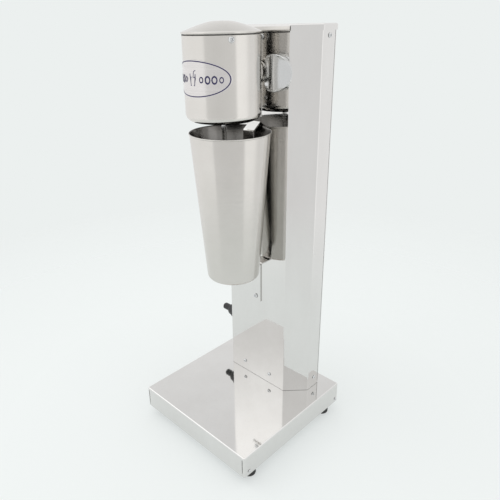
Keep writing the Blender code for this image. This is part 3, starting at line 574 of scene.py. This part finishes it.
def wrapped(name, outlines, low, high, closed=True):
    """A thin raised band of ink on the head, between two matching outlines of (across, height) points."""
    bm = bmesh.new()
    (a_low, b_low), (a_high, b_high) = [
        [[bm.verts.new(on_head(*point, depth)) for point in outline] for outline in outlines]
        for depth in (low, high)
    ]
    count = len(a_low)
    for i in range(count if closed else count - 1):
        j = (i + 1) % count
        bm.faces.new((a_high[i], b_high[i], b_high[j], a_high[j]))
        bm.faces.new((a_low[i], a_low[j], b_low[j], b_low[i]))
        bm.faces.new((a_low[i], a_high[i], a_high[j], a_low[j]))
        bm.faces.new((b_low[i], b_low[j], b_high[j], b_high[i]))
    if not closed:
        for i in (0, count - 1):
            bm.faces.new((a_low[i], b_low[i], b_high[i], a_high[i]))
    piece(name, bm, "blue_ink", "stand")


def ellipse(centre, half_across, half_height, steps=96):
    angles = [FULL_TURN * i / steps for i in range(steps)]
    return [(centre[0] + half_across * math.cos(a), centre[1] + half_height * math.sin(a)) for a in angles]


def badge():
    """Oval plate with a printed outline, and a plain tumbler and straw in place of any name."""
    low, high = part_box("badge_plate")
    middle = (0, (low.z + high.z) / 2)
    half_height = (high.z - low.z) / 2
    half_across = math.radians(60) * HEAD_RADIUS
    face, edge_drop = 0.55 * MM, 0.12 * MM
    steps = 96
    bm = bmesh.new()

    def row(share, proud):
        if share == 0:
            return [bm.verts.new(on_head(*middle, proud))] * steps
        points = ellipse(middle, half_across * share, half_height * share, steps)
        return [bm.verts.new(on_head(*point, proud)) for point in points]

    rows = [row(share, face) for share in (0, 0.25, 0.5, 0.7, 0.85, 0.94, 0.985)]
    rows += [row(1.0, face - edge_drop), row(1.0, GAP), row(0, GAP)]
    skin(bm, rows)
    piece("badge_finished", bm, "badge", "stand", ["badge_plate"])
    ink = (face - 0.02 * MM, face + 0.05 * MM)
    line_shares = ((0.975, 0.955), (0.945, 0.895))
    outline = [ellipse(middle, half_across * wide, half_height * tall) for wide, tall in line_shares]
    wrapped("badge_outline", outline, *ink)
    badge_picture(middle, *ink)


def badge_picture(middle, low, high):
    """A tumbler with a straw in the middle, and a row of rings on each side. Points are in millimetres."""

    def print_band(name, *outlines):
        placed = [[(middle[0] + x * MM, middle[1] + z * MM) for x, z in points] for points in outlines]
        wrapped(name, placed, low, high, closed=False)

    glass = [(-4.6, 5.2), (-3.1, -7.0), (3.1, -7.0), (4.6, 5.2)]
    inside = [(-3.6, 5.2), (-2.3, -6.1), (2.3, -6.1), (3.6, 5.2)]
    print_band("badge_glass", glass, inside)
    print_band("badge_fill", [(-3.3, 2.2), (3.3, 2.2)], [(-3.2, 1.3), (3.2, 1.3)])
    print_band("badge_straw", [(0.2, 1.2), (1.6, 8.0), (4.4, 9.2)], [(1.1, 1.2), (2.3, 7.4), (4.7, 8.4)])
    first, pitch, lower = 11.5 * MM, 7.4 * MM, 0.6 * MM
    tall, hole = 1.35, 0.6
    for side, way in (("left", -1), ("right", 1)):
        for i, size in enumerate((2.4, 3.2, 3.2, 2.4)):
            centre = (middle[0] + way * (first + pitch * i), middle[1] - lower)
            drop = [ellipse(centre, size * k * MM, size * k * tall * MM, 32) for k in (1.0, hole)]
            wrapped(f"badge_drop_{side}_{i}", drop, low, high)


# ---------------------------------------------------------------- neck, spindle, agitator

AGITATOR_BORE = 2.15 * MM


def neck():
    """Tube with a flange that seats on the column, a short cone in front of it, and a threaded tail."""
    low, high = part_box("neck_tube")
    tube, bore, thread = 12.0 * MM, 6.0 * MM, 9.0 * MM
    flange, length = (high.x - low.x) / 2, high.y - low.y
    seat = COLUMN_FRONT - GAP - low.y
    flange_end, cone_start, cone_end = seat - 3.0 * MM, seat - 4.2 * MM, seat - 6.0 * MM
    section = [(thread, length), (thread, seat), (flange - MM, seat), (flange, seat - MM)]
    section += [(flange, flange_end), (flange - 1.6 * MM, cone_start), (tube, cone_end)]
    section += [(tube, 0), (bore, 0), (bore, length)]
    centre = Vector(((low.x + high.x) / 2, low.y, (low.z + high.z) / 2))
    bm = spun(rounded(section, 0.6 * MM), 96)
    piece("neck_finished", bm, "satin_steel", "stand", ["neck_tube"], centre, BACK)


def spindle():
    """Plain shaft with broken edges, stepped down where the agitator sits."""
    radius, step, edge = (SPINDLE_HIGH.x - SPINDLE_LOW.x) / 2, 1.8 * MM, 0.3 * MM
    tip, tip_edge = 1.4 * MM, 0.4 * MM
    top, end = SPINDLE_HIGH.z, SPINDLE_LOW.z
    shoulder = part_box("agitator_disc")[1].z - 0.2 * MM
    section = [(0, top), (radius - edge, top), (radius, top - edge), (radius, shoulder)]
    section += [(step, shoulder), (step, end + tip_edge), (tip, end), (0, end)]
    piece("spindle_finished", spun(section, 64), "bright_steel", "spindle_group", ["spindle"], AXIS)


def agitator():
    """Disc that is flat in the middle and wavy towards its rim."""
    low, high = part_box("agitator_disc")
    radius, half, edge = (high.x - low.x) / 2, 0.6 * MM, 0.3 * MM
    waves, wave_height, flat_share = 5, 2.0 * MM, 0.35
    steps, shares = 120, [i / 12 for i in range(13)]
    bm = bmesh.new()

    def wavy(share, side, trim):
        """One row of the disc: side is +1 on top and -1 below."""
        row = ring(bm, AGITATOR_BORE + (radius - AGITATOR_BORE) * share - trim, side * half, steps)
        wave = wave_height * max(0.0, share - flat_share) / (1 - flat_share)
        for i, vert in enumerate(row):
            vert.co.z += wave * math.sin(waves * FULL_TURN * i / steps)
        return row

    rows = [wavy(share, 1, edge * (share == 1)) for share in shares] + [wavy(1, 0.3, 0), wavy(1, -0.3, 0)]
    rows += [wavy(share, -1, edge * (share == 1)) for share in reversed(shares)]
    skin(bm, [*rows, rows[0]])
    centre = AXIS + Vector((0, 0, (low.z + high.z) / 2))
    piece("agitator_finished", bm, "bright_steel", "spindle_group", ["agitator_disc"], centre)


def agitator_nut():
    """Domed nut that holds the disc on the spindle."""
    low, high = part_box("agitator_nut")
    outer, drop, edge = (high.x - low.x) / 2, high.z - low.z, 0.3 * MM
    section = [(outer - edge, drop), (outer, drop - edge), (outer, 0.55 * drop), (outer * 0.75, 0.1 * drop)]
    section += [(outer * 0.6, 0), (AGITATOR_BORE, 0), (AGITATOR_BORE, drop)]
    place = AXIS + Vector((0, 0, low.z))
    bm = spun(rounded(section, edge), 64)
    piece("agitator_nut_finished", bm, "bright_steel", "spindle_group", ["agitator_nut"], place)


# ---------------------------------------------------------------- cup


def cup():
    """Tapered tumbler: beaded rim, rounded foot, raised base."""
    foot, wall, bead, corner, recess = 33.3 * MM, 0.8 * MM, 0.7 * MM, 5.0 * MM, 1.6 * MM
    ring_inset, inner_lift, inner_trim = 8.0 * MM, 2.0 * MM, 0.4 * MM
    height = CUP_HIGH.z - CUP_LOW.z
    rim = (CUP_HIGH.x - CUP_LOW.x) / 2 - 2 * bead + 0.1 * MM
    lean = math.degrees(math.atan((rim + wall - foot) / height))
    stand_on = foot - ring_inset
    outside = [(0, recess), (stand_on - 2.0 * MM, recess), (stand_on - 0.6 * MM, 0.5 * MM)]
    outside += [(stand_on + 0.4 * MM, 0)] + arc((foot - corner, corner), corner, -90, -lean, 14)
    outside += [(rim + wall - 0.1 * MM, height - 2.6 * bead)]
    outside += arc((rim + wall + bead * 0.25, height - bead), bead, -60, 120, 10)
    inner_foot = corner + inner_lift
    inside = [(rim, height - 2 * bead), (foot - wall, inner_foot)]
    inside += arc((foot - corner - inner_trim, inner_foot), corner - wall + inner_trim, 0, -80, 8)[1:]
    inside += [(0, recess + wall)]
    centre = Vector(((CUP_LOW.x + CUP_HIGH.x) / 2, (CUP_LOW.y + CUP_HIGH.y) / 2, CUP_LOW.z))
    piece("cup_finished", spun(outside + inside, 192), "cup_steel", "cup_body", ["cup"], centre)


# ---------------------------------------------------------------- knob, gland, feet


def hollow(side, depth):
    """The solid that one finger hollow takes from the knob, whose front is at this depth."""
    edge, facet, facet_depth, floor = 2.6 * MM, 9.0 * MM, 4.6 * MM, 10.4 * MM
    slope_end, beyond, above = 21.0 * MM, 26.0 * MM, -3.0 * MM
    half_height, steps = 18.9 * MM, 64
    shallowest = 0.01
    bm = bmesh.new()
    rows = []
    for step in range(steps + 1):
        share = math.sin(math.pi * (step / steps - 0.5))
        deep = max(shallowest, math.sqrt(max(0.0, 1 - share * share)))
        section = [(edge, above), (edge, 0), (edge + facet * deep, facet_depth * deep)]
        section += [(slope_end, floor * deep), (beyond, floor * deep), (beyond, above)]
        rows.append([bm.verts.new((side * x, share * half_height, depth - y)) for x, y in section])
    skin(bm, rows)
    bm.faces.new(rows[0])
    bm.faces.new(rows[-1])
    return bm


def knob():
    """Round knob: a grip bar left standing between two cut sides, each with a facet and a steeper slope."""
    edge, edge_corner = 1.0 * MM, 0.3 * MM
    socket, socket_depth, shaft, shaft_depth = 7.8 * MM, 2.8 * MM, 2.2 * MM, 7.0 * MM
    radius, depth = (KNOB_HIGH.x - KNOB_LOW.x) / 2, KNOB_HIGH.y - KNOB_LOW.y
    section = [(0, depth), (radius - edge, depth), (radius - edge_corner, depth - edge_corner)]
    section += [(radius, depth - edge), (radius, edge_corner), (radius - edge_corner, 0)]
    section += [(socket, 0), (socket, socket_depth), (shaft, socket_depth), (shaft, shaft_depth)]
    section += [(0, shaft_depth)]
    bm = carved("knob_work", spun(section, 128), [hollow(-1, depth), hollow(1, depth)], 0.25 * MM)
    centre = Vector(((KNOB_LOW.x + KNOB_HIGH.x) / 2, KNOB_HIGH.y, (KNOB_LOW.z + KNOB_HIGH.z) / 2))
    # The bar runs along the turned piece's Y, which this direction lays along Z.
    piece("speed_knob_finished", bm, "silver_plastic", "knob", ["speed_knob"], centre, FRONT)


def gland():
    """Black gland: flanged body, fluted dome nut and a plain sleeve."""
    centre_y, centre_z = (GLAND_LOW.y + GLAND_HIGH.y) / 2, (GLAND_LOW.z + GLAND_HIGH.z) / 2
    seat = Vector((SHELL_LOW.x, centre_y, centre_z))
    reach, inside = SHELL_LOW.x - GLAND_LOW.x, GLAND_HIGH.x - SHELL_LOW.x
    flange, thread, bore = (GLAND_HIGH.y - GLAND_LOW.y) / 2, 5.5 * MM, 3.0 * MM
    sleeve, sleeve_start, dome_end, dome_nut = 5.2 * MM, 16.0 * MM, 12.0 * MM, 10.0 * MM
    section = [(bore, reach), (sleeve - 1.2 * MM, reach), (sleeve, reach - 1.6 * MM)]
    section += [(sleeve, sleeve_start), (6.0 * MM, 15.0 * MM), (8.6 * MM, dome_end)]
    section += [(dome_nut, 5.0 * MM), (dome_nut, 3.8 * MM)]
    section += [(flange, 3.4 * MM), (flange, GAP), (thread, GAP), (thread, -inside), (bore, -inside)]
    bm = spun(rounded(section, 0.7 * MM), 144)
    flutes, flute_depth, fluted = 18, 0.035, (4.5 * MM, 13.0 * MM)
    for vert in bm.verts:
        x, y, along = vert.co
        if math.hypot(x, y) > 7.5 * MM and fluted[0] < along < fluted[1]:
            share = 0.5 + 0.5 * math.cos(flutes * math.atan2(y, x))
            vert.co.xy *= 1 - flute_depth * share
    piece("cable_gland_finished", bm, "black_plastic", "stand", ["cable_gland"], seat, LEFT)


def feet():
    """Push-in rubber feet: a barbed stem through the pan, and a round pad with a hollow under it."""
    stem, barb, neck_radius, hollow_radius = 2.0 * MM, 3.6 * MM, 2.2 * MM, 4.2 * MM
    barb_lift, edge, hollow_height = 1.8 * MM, 1.4 * MM, 5.0 * MM
    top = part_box("base_pan")[0].z - GAP
    barb_base = top + barb_lift
    for name in ("foot_front_left", "foot_front_right", "foot_rear_left", "foot_rear_right"):
        low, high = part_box(name)
        radius = (high.x - low.x) / 2
        section = [(0, high.z), (stem, high.z), (barb, barb_base), (neck_radius, barb_base)]
        section += [(neck_radius, top), (radius, top), (radius, edge), (radius - edge, 0)]
        section += [(hollow_radius, 0), (hollow_radius, hollow_height), (0, hollow_height)]
        centre = Vector(((low.x + high.x) / 2, (low.y + high.y) / 2, low.z))
        bm = spun(rounded(section, 0.5 * MM), 64)
        piece(name + "_finished", bm, "rubber", "stand", [name], centre)


# ---------------------------------------------------------------- CAD pieces that stay


def painted():
    paint(["base_tray", "column_shell", "column_back_cover", "column_cap"], "mirror_steel")
    paint(["cup_hook", "cup_rest"], "mirror_steel")
    paint(["base_pan", "column_foot_bracket", "cap_strap", "neck_nut", "switch_nut", "gland_nut"], "zinc")
    paint(["motor_plate", "motor_top_plate", "switch_shaft"], "zinc")
    paint(["lower_bearing", "upper_bearing"], "bright_steel")
    paint(["motor_stator"], "laminated_steel")
    paint(["motor_rotor"], "copper")
    paint(["shaft_seal", "cooling_fan", "speed_switch", "brush_left", "brush_right"], "black_plastic")


# ---------------------------------------------------------------- studio

BACKDROP = (0.839, 0.871, 0.863, 1)
BRIGHTEST = 1.7
ZENITH_LEVEL = 1.2

# (azimuth, brightness): azimuth in degrees, 0 at the front and 90 on the right
WALL_LEVELS = [(-180, 1.0), (-150, 0.9), (-105, 0.95), (-80, 1.06), (-8, 1.1), (-5, 1.1)]
WALL_LEVELS += [(-3.5, 0.74), (-1.5, 0.86), (30, 0.82), (60, 0.84), (84, 0.86), (85.5, 0.8)]
WALL_LEVELS += [(88, 1.22), (118, 1.16), (132, 0.95), (180, 0.98)]
CEILING_LEVELS = [(-180, 0.9), (-150, 0.8), (-100, 0.85), (-75, 1.5), (-15, 1.6), (15, 1.1), (180, 1.0)]

# The direction's height, 0 level and 1 overhead, over which one ring of levels gives way to the next
WALL_TO_CEILING = (0.56, 0.70)
CEILING_TO_ZENITH = (0.76, 0.92)


def world():
    """Pale studio that reflections see, brighter overhead than at the walls. The camera sees BACKDROP."""
    made = bpy.data.worlds.new("studio")
    bpy.context.scene.world = made
    made.use_nodes = True
    made.node_tree.nodes.clear()
    nodes = Nodes(made)
    direction = nodes.add("SeparateXYZ")
    nodes.link(nodes.add("TexCoord").outputs["Generated"], direction.inputs["Vector"])
    front = nodes.add("Math", operation="MULTIPLY")
    nodes.link(direction.outputs["Y"], front.inputs[0])
    front.inputs[1].default_value = -1
    around = nodes.add("Math", operation="ARCTAN2")
    nodes.link(direction.outputs["X"], around.inputs[0])
    nodes.link(front.outputs["Value"], around.inputs[1])
    share = nodes.spread(around.outputs["Value"], 0, 1, (-math.pi, math.pi))

    def levels_around(levels):
        stops = [((azimuth + 180) / 360, (level / BRIGHTEST,) * 3) for azimuth, level in levels]
        return nodes.ramp(share, stops)

    def blend(span, below, above):
        return nodes.mix_colour(nodes.spread(direction.outputs["Z"], 0, 1, span), below, above)

    sides = blend(WALL_TO_CEILING, levels_around(WALL_LEVELS), levels_around(CEILING_LEVELS))
    whole = blend(CEILING_TO_ZENITH, sides, (*[ZENITH_LEVEL / BRIGHTEST] * 3, 1))
    light = nodes.add("Background", Strength=BRIGHTEST)
    nodes.link(whole, light.inputs["Color"])
    seen = nodes.add("Background", Strength=1.0, Color=BACKDROP)
    choose = nodes.add("MixShader")
    nodes.link(nodes.add("LightPath").outputs["Is Camera Ray"], choose.inputs["Fac"])
    nodes.link(light.outputs["Background"], choose.inputs[1])
    nodes.link(seen.outputs["Background"], choose.inputs[2])
    nodes.link(choose.outputs["Shader"], nodes.add("OutputWorld").inputs["Surface"])


def floor():
    """A plain pale disc that fades out into the studio. Part of its light is its own, for a pale shadow."""
    own_light, below_feet = 0.56, 0.5 * MM
    radius, fade_start, fade_end = 1.1, 0.35, 0.95
    material, nodes = new_material("floor", (0.36, 0.374, 0.37), 0.9)
    nodes.shader.inputs["Emission Color"].default_value = BACKDROP
    nodes.shader.inputs["Emission Strength"].default_value = own_light
    nodes.shader.inputs["Specular IOR Level"].default_value = 0.1
    length = nodes.add("VectorMath", operation="LENGTH")
    nodes.link(nodes.add("TexCoord").outputs["Object"], length.inputs[0])
    fade = nodes.spread(length.outputs["Value"], 1, 0, (fade_start, fade_end))
    nodes.link(fade, nodes.shader.inputs["Alpha"])
    bm = bmesh.new()
    bmesh.ops.create_circle(bm, cap_ends=True, segments=96, radius=radius)
    mesh = bpy.data.meshes.new("floor")
    bm.to_mesh(mesh)
    bm.free()
    mesh.materials.append(material)
    obj = bpy.data.objects.new("floor", mesh)
    bpy.context.scene.collection.objects.link(obj)
    obj.location.z = -below_feet


def key_light():
    """One large soft lamp above and to the left, for the floor's faint shadow."""
    data = bpy.data.lights.new("key", "AREA")
    data.shape = "DISK"
    data.size = 1.6
    data.energy = 6
    obj = bpy.data.objects.new("key", data)
    bpy.context.scene.collection.objects.link(obj)
    obj.location = (-1.1, -0.9, 2.0)
    obj.rotation_euler = (-obj.location).to_track_quat("-Z", "Y").to_euler()
    obj.visible_glossy = False


def camera():
    """From the front right, a little above the head, looking down and rolled slightly."""
    place = Vector((0.42731 + AXIS.x, -0.43105, 0.53572))
    azimuth, pitch, roll = math.radians(45.349), math.radians(23.602), math.radians(-1.3)
    level = Vector((-math.sin(azimuth), math.cos(azimuth), 0))
    ahead = level * math.cos(pitch) - UP * math.sin(pitch)
    right = Vector((math.cos(azimuth), math.sin(azimuth), 0))
    up = right.cross(ahead)
    right_rolled = right * math.cos(roll) + up * math.sin(roll)
    up_rolled = up * math.cos(roll) - right * math.sin(roll)
    data = bpy.data.cameras.new("camera")
    data.lens, data.sensor_width = 36.73, 36
    data.shift_x, data.shift_y = 0.0292, -0.0097
    obj = bpy.data.objects.new("camera", data)
    bpy.context.scene.collection.objects.link(obj)
    turn = Matrix((right_rolled, up_rolled, -ahead)).transposed().to_4x4()
    obj.matrix_world = Matrix.Translation(place) @ turn
    bpy.context.scene.camera = obj


head()
lid()
badge()
neck()
spindle()
agitator()
agitator_nut()
cup()
knob()
gland()
feet()
all_screws()
painted()
world()
floor()
key_light()
camera()
bpy.context.scene.view_settings.view_transform = "Standard"
